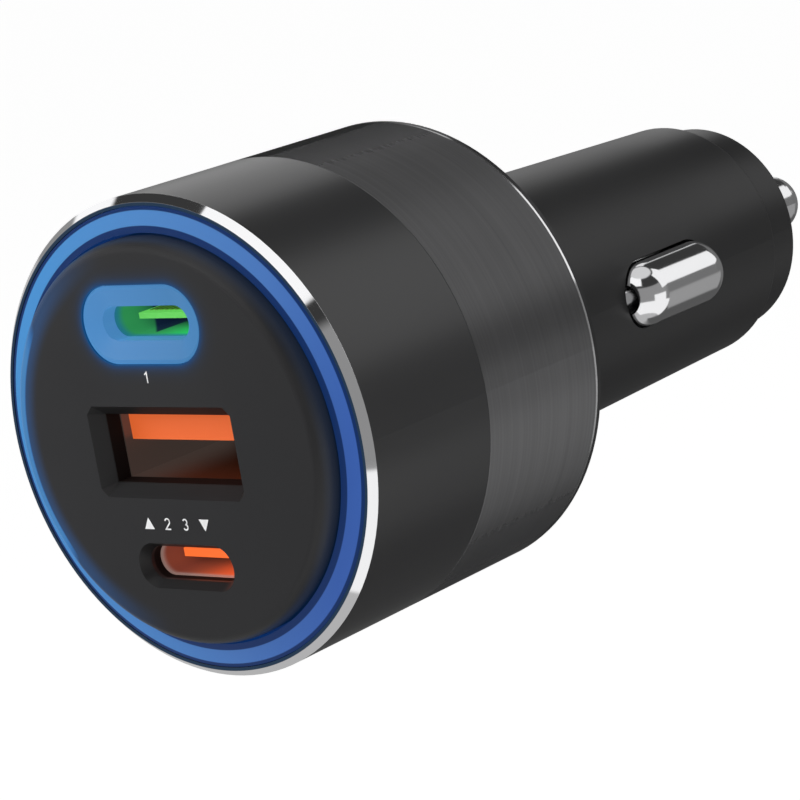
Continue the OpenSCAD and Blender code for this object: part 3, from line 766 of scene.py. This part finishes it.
def side_nickel():
    """Nickel with the smooth normals of a rounded bar, so that the flat mesh faces don't show."""
    material = bright_metal("nickel_side", (0.86, 0.86, 0.87), 0.08, 5e-7)
    tree = material.node_tree
    x, y, z = axis_place(tree)
    side = value_node(tree, "SIGN", x)
    ahead = minus(tree, y, SIDE_Y)
    inner = larger(tree, smaller(tree, ahead, SIDE_HALF), -SIDE_HALF)
    out = tree.nodes.new("ShaderNodeCombineXYZ")
    tree.links.new(minus(tree, x, times(tree, side, SIDE_X)), out.inputs["X"])
    tree.links.new(minus(tree, ahead, inner), out.inputs["Y"])
    tree.links.new(z, out.inputs["Z"])
    length = tree.nodes.new("ShaderNodeVectorMath")
    unit = tree.nodes.new("ShaderNodeVectorMath")
    length.operation, unit.operation = "LENGTH", "NORMALIZE"
    tree.links.new(out.outputs[0], length.inputs[0])
    tree.links.new(out.outputs[0], unit.inputs[0])
    # Only the rounded outside has these normals. The flange and the bore keep their own.
    off = size_of(tree, minus(tree, length.outputs["Value"], SIDE_R))
    blend = tree.nodes.new("ShaderNodeMix")
    blend.data_type = "VECTOR"
    tree.links.new(under(tree, off, SIDE_OFF), blend.inputs["Factor"])
    tree.links.new(tree.nodes.new("ShaderNodeNewGeometry").outputs["Normal"], blend.inputs[4])
    tree.links.new(unit.outputs["Vector"], blend.inputs[5])
    bump = tree.nodes["Principled BSDF"].inputs["Normal"].links[0].from_node
    tree.links.new(blend.outputs[1], bump.inputs["Normal"])
    return material


dress(side_nickel(), "right_contact", "left_contact")


# From the left of the shell to the right, and the painted glow at both ends
SHELL_X = (-5.9, 0.5)
SHELL_LIGHT = ((0.036, 0.026, 0.022), (0.006, 0.002, 0.001))


def port_shell():
    """Dull steel, with a painted glow that stands for the light the coloured plastic scatters onto it."""
    material = bright_metal("shell_steel", (0.13, 0.11, 0.1), 0.45, 3e-6)
    tree = material.node_tree
    shader = tree.nodes["Principled BSDF"]
    across = range_node(tree, axis_place(tree)[0], *SHELL_X)
    tree.links.new(mix_color(tree, across, *SHELL_LIGHT), shader.inputs["Emission Color"])
    shader.inputs["Emission Strength"].default_value = 1.0
    return material


dress(port_shell(), "top_port_shell", "middle_port_shell", "bottom_port_shell")
dress(bright_metal("gold", (0.75, 0.55, 0.3), 0.3, 2e-6), "top_port_pins", "middle_port_pins",
      "bottom_port_pins", "led_link_pins", "right_ground_pad", "left_ground_pad", "battery_pad")

# %% [markdown]
# ## Port mouldings
# Each port has a coloured moulding with a tongue, and the colour shows how fast the port charges.
# The plastic is a little translucent. Its tongue, which catches the light at the mouth, glows with
# painted light, and the walls behind it get painted light and shade: darker on the left, lighter on
# the right, a painted tone at the mouth, and darker with depth. A mask on the point's own place tells
# the tongue from the walls.

# %% Port plastics
PLASTIC_GRAIN = 6000.0


def coloured_plastic(name, color, roughness):
    """Plain plastic with slow clouds and a fine grain."""
    material, tree, shader = new_material(name, color, roughness)
    place = object_place(tree)
    vary(tree, shader, place, 200.0, color, lighter_by(color, 1.1), roughness, roughness + 0.06)
    add_bump(tree, shader, noise_node(tree, place, PLASTIC_GRAIN, 2.0), 2e-6)
    return material


# Each moulding: the CAD node it is on, the tongue's colour, which also glows as painted light, its
# middle line and half its width and height, the mouth's place along the axis, the walls' colours with
# painted light and shade at the mouth, on the left, on the right and far inside, and for the top one
# the two lines that bound the tongue's painted shadow
PORTS = {
    "port_green": {
        "node": "top_port_insert", "tongue": (0.11, 0.5, 0.08), "middle": PILL_Z, "half": (2.85, 0.35),
        "mouth": -25.8, "near": (0.012, 0.12, 0.17), "left": (0.02, 0.19, 0.06),
        "right": (0.012, 0.38, 0.09), "far": (0.002, 0.01, 0.02), "shadow": (-1.5, -26.4)},
    "port_orange": {
        "node": "bottom_port_insert", "tongue": (0.88, 0.15, 0.03), "middle": -PILL_Z, "half": (3.35, 0.4),
        "mouth": -26.2, "near": (0.24, 0.18, 0.16), "left": (0.13, 0.03, 0.018),
        "right": (0.5, 0.07, 0.02), "far": (0.03, 0.01, 0.006)},
    "port_amber": {
        "node": "middle_port_insert", "tongue": (0.57, 0.097, 0.021), "middle": 0.66, "half": (5.85, 0.98),
        "mouth": -25.2, "near": (0.008, 0.003, 0.002), "left": (0.012, 0.005, 0.004),
        "right": (0.03, 0.008, 0.004), "far": (0.01, 0.004, 0.003)},
}
# Where the left wall's painted shade turns into the right one's painted light, and how far behind the
# mouth the near colour ends, the far one's painted shade takes over and the whole moulding's glow fades
LEFT_TO_RIGHT = (-2.0, 3.0)
NEAR_END = 0.9
FAR_FROM, FAR_TO = 1.5, 6.0
DARK_FROM, DARK_TO, DARK_SHARE = 2.0, 8.0, 0.1
SHADOW_TONE = (0.004, 0.01, 0.03)
SHADOW_SOFT = 0.3
# The base colour is the plastic's colour at this share, and the same colour glows at this strength as painted
# light
PLASTIC_OWN = 0.5
PLASTIC_GLOW = 1.05


def port_plastic(name, port):
    """A port's moulding, with painted light on its tongue and painted light and shade on its walls, which go
    dark inside.
    """
    tongue, middle, mouth = port["tongue"], port["middle"], port["mouth"]
    half_width, half_height = port["half"]
    material, tree, shader = new_material(name, tongue, 0.45)
    x, y, z = axis_place(tree)
    rise = size_of(tree, minus(tree, z, middle))
    on_tongue = times(tree, under(tree, size_of(tree, x), half_width), under(tree, rise, half_height))
    # Painted light and shade on the walls: by side, at the mouth, and far inside
    wall = mix_color(tree, range_node(tree, x, *LEFT_TO_RIGHT), port["left"], port["right"])
    wall = mix_color(tree, range_node(tree, y, mouth, mouth + NEAR_END), port["near"], wall)
    wall = mix_color(tree, range_node(tree, y, mouth + FAR_FROM, mouth + FAR_TO), wall, port["far"])
    if "shadow" in port:
        # The corner behind the tongue, left of one line and beyond another, lies in its shadow
        edge, slope = port["shadow"]
        beyond = range_node(tree, plus(tree, x, y), slope, slope + SHADOW_SOFT)
        wall = mix_color(tree, times(tree, under(tree, x, edge), beyond), wall, SHADOW_TONE)
    color = mix_color(tree, on_tongue, wall, tongue)
    # The glow of the whole moulding, tongue too, fades with depth as painted shade, later than the walls'
    # colours
    depth = range_node(tree, y, mouth + DARK_FROM, mouth + DARK_TO, 1.0, DARK_SHARE)
    tree.links.new(mix_color(tree, PLASTIC_OWN, color, BLACK), shader.inputs["Base Color"])
    tree.links.new(color, shader.inputs["Emission Color"])
    tree.links.new(times(tree, depth, PLASTIC_GLOW), shader.inputs["Emission Strength"])
    add_bump(tree, shader, noise_node(tree, object_place(tree), PLASTIC_GRAIN, 2.0), 2e-6)
    return material


for port_name, port in PORTS.items():
    dress(port_plastic(port_name, port), port["node"])

# %% [markdown]
# ## Coil springs
# Behind each contact sits a coil of steel wire with closed ends. The CAD solids are coarse coils, so
# that they can be checked, and these finer ones replace them. A coil follows a rule, which is what
# Geometry Nodes are good at: a straight line is cut into many points, each point is moved to its
# place on the helix, and a round profile runs along it. The first and last turn rise by only the
# wire's thickness, so that the ends close.

# %% The coil as Geometry Nodes
COIL_SOCKETS = (("Radius", "NodeSocketFloat"), ("Wire", "NodeSocketFloat"), ("Height", "NodeSocketFloat"),
                ("Turns", "NodeSocketFloat"), ("Material", "NodeSocketMaterial"))
POINTS_PER_TURN = 28
PROFILE_SIDES = 10
# One closed turn at each end. Together with the wire's own thickness they take three wires' height.
CLOSED_TURNS = 2.0


def coil_tree():
    """A node group that makes a coil along +Z from 0 to Height."""
    tree = bpy.data.node_groups.new("coil", "GeometryNodeTree")
    tree.interface.new_socket("Geometry", in_out="INPUT", socket_type="NodeSocketGeometry")
    for name, kind in COIL_SOCKETS:
        tree.interface.new_socket(name, in_out="INPUT", socket_type=kind)
    tree.interface.new_socket("Geometry", in_out="OUTPUT", socket_type="NodeSocketGeometry")
    given = tree.nodes.new("NodeGroupInput").outputs
    line = tree.nodes.new("GeometryNodeCurvePrimitiveLine")
    points = tree.nodes.new("GeometryNodeResampleCurve")
    tree.links.new(line.outputs["Curve"], points.inputs["Curve"])
    tree.links.new(times(tree, given["Turns"], float(POINTS_PER_TURN)), points.inputs["Count"])
    # The turn number at each point, and how far it has risen there
    share = tree.nodes.new("GeometryNodeSplineParameter").outputs["Factor"]
    turn = times(tree, share, given["Turns"])
    open_turns = minus(tree, given["Turns"], CLOSED_TURNS)
    rise_room = minus(tree, given["Height"], times(tree, given["Wire"], CLOSED_TURNS + 1.0))
    pitch = value_node(tree, "DIVIDE", rise_room, open_turns)
    first = smaller(tree, turn, 1.0)
    middle = smaller(tree, larger(tree, minus(tree, turn, 1.0), 0.0), open_turns)
    last = minus(tree, minus(tree, turn, first), middle)
    closed = plus(tree, plus(tree, first, last), 0.5)
    height = plus(tree, times(tree, given["Wire"], closed), times(tree, pitch, middle))
    angle = times(tree, turn, 2 * math.pi)
    place = tree.nodes.new("ShaderNodeCombineXYZ")
    for socket, operation in (("X", "COSINE"), ("Y", "SINE")):
        side = times(tree, value_node(tree, operation, angle), given["Radius"])
        tree.links.new(side, place.inputs[socket])
    tree.links.new(height, place.inputs["Z"])
    moved = tree.nodes.new("GeometryNodeSetPosition")
    tree.links.new(points.outputs["Curve"], moved.inputs["Geometry"])
    tree.links.new(place.outputs[0], moved.inputs["Position"])
    profile = tree.nodes.new("GeometryNodeCurvePrimitiveCircle")
    profile.inputs["Resolution"].default_value = PROFILE_SIDES
    tree.links.new(times(tree, given["Wire"], 0.5), profile.inputs["Radius"])
    wire = tree.nodes.new("GeometryNodeCurveToMesh")
    wire.inputs["Fill Caps"].default_value = True
    tree.links.new(moved.outputs["Geometry"], wire.inputs["Curve"])
    tree.links.new(profile.outputs["Curve"], wire.inputs["Profile Curve"])
    real = tree.nodes.new("GeometryNodeRealizeInstances")
    tree.links.new(wire.outputs["Mesh"], real.inputs[0])
    painted = tree.nodes.new("GeometryNodeSetMaterial")
    tree.links.new(real.outputs[0], painted.inputs["Geometry"])
    tree.links.new(given["Material"], painted.inputs["Material"])
    tree.links.new(painted.outputs["Geometry"], tree.nodes.new("NodeGroupOutput").inputs[0])
    return tree


COIL = coil_tree()

# %% The three springs
# Each spring: the node it replaces, the wire and the turns in the CAD model, the axis of the coil,
# its joint, and the share of its length that is left at the joint's limit
SPRINGS = (
    ("nose_spring", 0.5, 7, (0, 1, 0), "nose_slide", 0.535),
    ("right_spring", 0.4, 8, (1, 0, 0), "right_slide", 0.738),
    ("left_spring", 0.4, 8, (-1, 0, 0), "left_slide", 0.738),
)


def make_spring(name, wire, turns, axis, joint, keep):
    """One coil in place of a CAD node, between the same two ends and as wide."""
    low, high = (Vector(corner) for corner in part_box(name))
    along = Vector(axis)
    span = (high - low).dot(Vector([abs(a) for a in axis]))
    start = (low + high) / 2 - along * span / 2
    wide = min(side for side, a in zip(high - low, axis) if not a)
    holder = bpy.data.objects.new(name + "_coil", bpy.data.meshes.new(name + "_coil"))
    scene.collection.objects.link(holder)
    live = holder.modifiers.new("coil", "NODES")
    live.node_group = COIL
    values = {"Radius": wide / 2 - wire * MM / 2, "Wire": wire * MM, "Height": span,
              "Turns": float(turns), "Material": spring_steel}
    for item in COIL.interface.items_tree:
        if item.in_out == "INPUT" and item.name in values:
            live[item.identifier] = values[item.name]
    evaluated = holder.evaluated_get(bpy.context.evaluated_depsgraph_get())
    mesh = bpy.data.meshes.new_from_object(evaluated)
    holder.modifiers.clear()
    turn = Vector((0, 0, 1)).rotation_difference(along).to_matrix().to_4x4()
    mesh.transform(Matrix.Translation(start) @ turn)
    for face in mesh.polygons:
        face.use_smooth = True
    holder.data = mesh
    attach(holder, BODY)
    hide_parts(name)
    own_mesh(holder)
    print(name, "has", len(mesh.polygons), "faces and starts at", [round(v / MM, 2) for v in start])


for spring in SPRINGS:
    make_spring(*spring)

# %% [markdown]
# ## Boards and components
# Nothing of these shows while the charger is whole, but they show when it is opened up.

# %% Inner finishes
def board_green():
    """Green board with a pattern of paler tracks."""
    material, tree, shader = new_material("board_green", (0.01, 0.09, 0.04), 0.35)
    tracks = tree.nodes.new("ShaderNodeTexBrick")
    tracks.inputs["Scale"].default_value = 450.0
    tracks.inputs["Mortar Size"].default_value = 0.06
    tracks.inputs["Color1"].default_value = (0.008, 0.08, 0.035, 1)
    tracks.inputs["Color2"].default_value = (0.012, 0.1, 0.045, 1)
    tracks.inputs["Mortar"].default_value = (0.02, 0.16, 0.08, 1)
    tree.links.new(object_place(tree), tracks.inputs["Vector"])
    tree.links.new(tracks.outputs["Color"], shader.inputs["Base Color"])
    return material


dress(board_green(), "led_board", "port_board", "main_board")
dress(coloured_plastic("led_white", (0.8, 0.8, 0.6), 0.3), "leds")
dress(coloured_plastic("ferrite", (0.06, 0.06, 0.065), 0.7), "upper_inductor", "lower_inductor")
dress(coloured_plastic("can_sleeve", (0.02, 0.03, 0.09), 0.3), "input_capacitor")
dress(bright_metal("can_aluminium", (0.75, 0.75, 0.76), 0.3, 3e-6), "output_capacitor")
dress(coloured_plastic("chip_black", (0.02, 0.02, 0.02), 0.6), "power_transistors", "controller_chip")
dress(coloured_plastic("ceramic_tan", (0.4, 0.27, 0.15), 0.5), "chip_capacitors")
dress(coloured_plastic("ceramic_white", (0.75, 0.73, 0.66), 0.4), "fuse")
